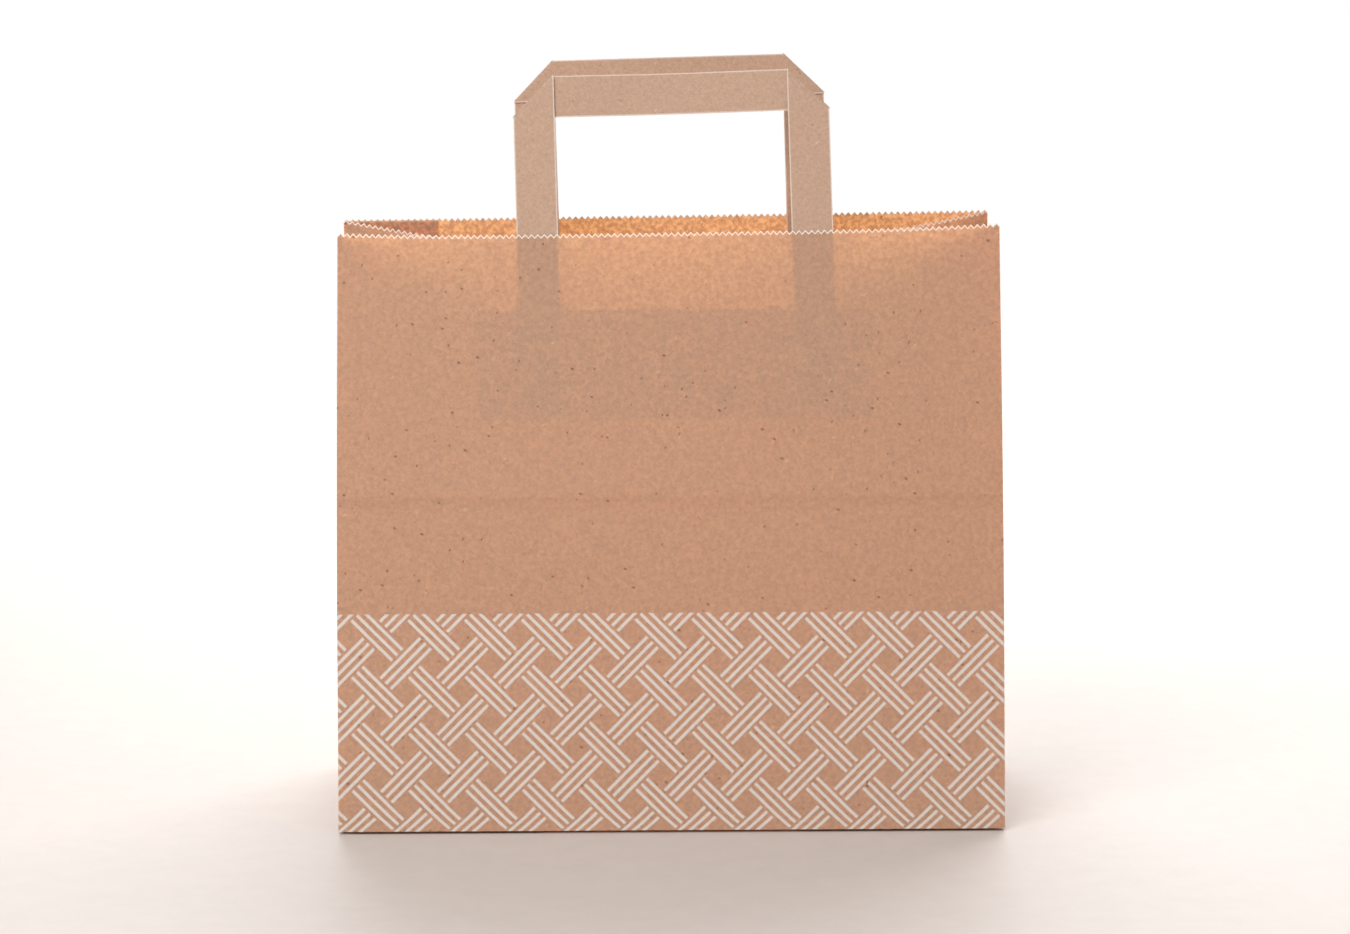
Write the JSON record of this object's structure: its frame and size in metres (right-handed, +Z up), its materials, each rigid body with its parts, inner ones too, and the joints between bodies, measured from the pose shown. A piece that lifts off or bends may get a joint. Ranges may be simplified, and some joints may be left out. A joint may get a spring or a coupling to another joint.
{
  "type": "paper carrier bag",
  "caption": "Standing brown kraft paper bag with a block bottom, pushed-in side gussets, a pinked mouth and flat folded paper handles.",
  "frame": {"origin": "centre of the base, on the surface the bag stands on", "axes": "+Z up, +X to the right across the front panel, the front panel faces -Y"},
  "size_m": [0.32, 0.16, 0.3686],
  "materials": {
    "kraft_body": "uncoated brown kraft paper, off-white basket-weave print round the foot",
    "kraft_handle": "folded kraft paper strip, slightly paler and smoother",
    "kraft_patch": "uncoated kraft paper"
  },
  "bodies": {
    "root": {"bag_body": "kraft_body", "front_handle": "kraft_handle", "rear_handle": "kraft_handle", "front_handle_patch": "kraft_patch", "rear_handle_patch": "kraft_patch"}
  },
  "joints": []
}
